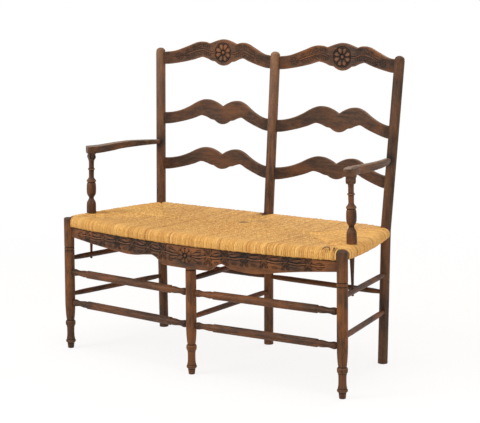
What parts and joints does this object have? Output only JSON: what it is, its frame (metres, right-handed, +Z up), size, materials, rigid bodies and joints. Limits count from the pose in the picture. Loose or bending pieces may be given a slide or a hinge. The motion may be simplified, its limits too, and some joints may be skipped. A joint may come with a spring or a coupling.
{
  "type": "settee",
  "caption": "Wide ladder-back settee with a rush seat, carved bow-shaped slats and apron, open arms on turned supports, and turned legs joined by stretchers.",
  "frame": {"origin": "on the floor, in the middle of the settee's width and depth", "axes": "+X towards the right end as seen from the front, +Y towards the back, +Z up; the sitter faces -Y"},
  "size_m": [1.0998, 0.5733, 1.0309],
  "materials": {
    "dark_wood": "waxed, dark stained oak",
    "warm_wood": "waxed, brown stained oak",
    "worn_wood": "stained oak, worn pale by hands",
    "rush": "twisted rush, matt to satin",
    "straw": "loose straw, matt"
  },
  "bodies": {
    "root": {"front_leg_left": "dark_wood", "front_leg_middle": "dark_wood", "front_leg_right": "dark_wood", "back_post_left": "dark_wood", "back_post_middle": "dark_wood", "back_post_right": "dark_wood", "crest_rail_left": "warm_wood", "crest_rail_right": "warm_wood", "middle_slat_left": "warm_wood", "middle_slat_right": "warm_wood", "lower_slat_left": "warm_wood", "lower_slat_right": "warm_wood", "front_apron": "dark_wood", "apron_dowels": "warm_wood", "front_seat_rail": "dark_wood", "side_seat_rail_left": "dark_wood", "side_seat_rail_right": "dark_wood", "back_seat_rail_left": "dark_wood", "back_seat_rail_right": "dark_wood", "front_stretcher_upper_left": "warm_wood", "front_stretcher_upper_right": "warm_wood", "front_stretcher_lower_left": "warm_wood", "front_stretcher_lower_right": "warm_wood", "side_stretcher_upper_left": "warm_wood", "side_stretcher_upper_right": "warm_wood", "side_stretcher_lower_left": "warm_wood", "side_stretcher_lower_right": "warm_wood", "middle_stretcher_upper": "warm_wood", "middle_stretcher_lower": "warm_wood", "back_stretcher_left": "warm_wood", "back_stretcher_right": "warm_wood", "arm_left": "worn_wood", "arm_right": "worn_wood", "arm_support_left": "dark_wood", "arm_support_right": "dark_wood", "rush_seat": "rush", "straw_filling": "straw"}
  },
  "joints": []
}
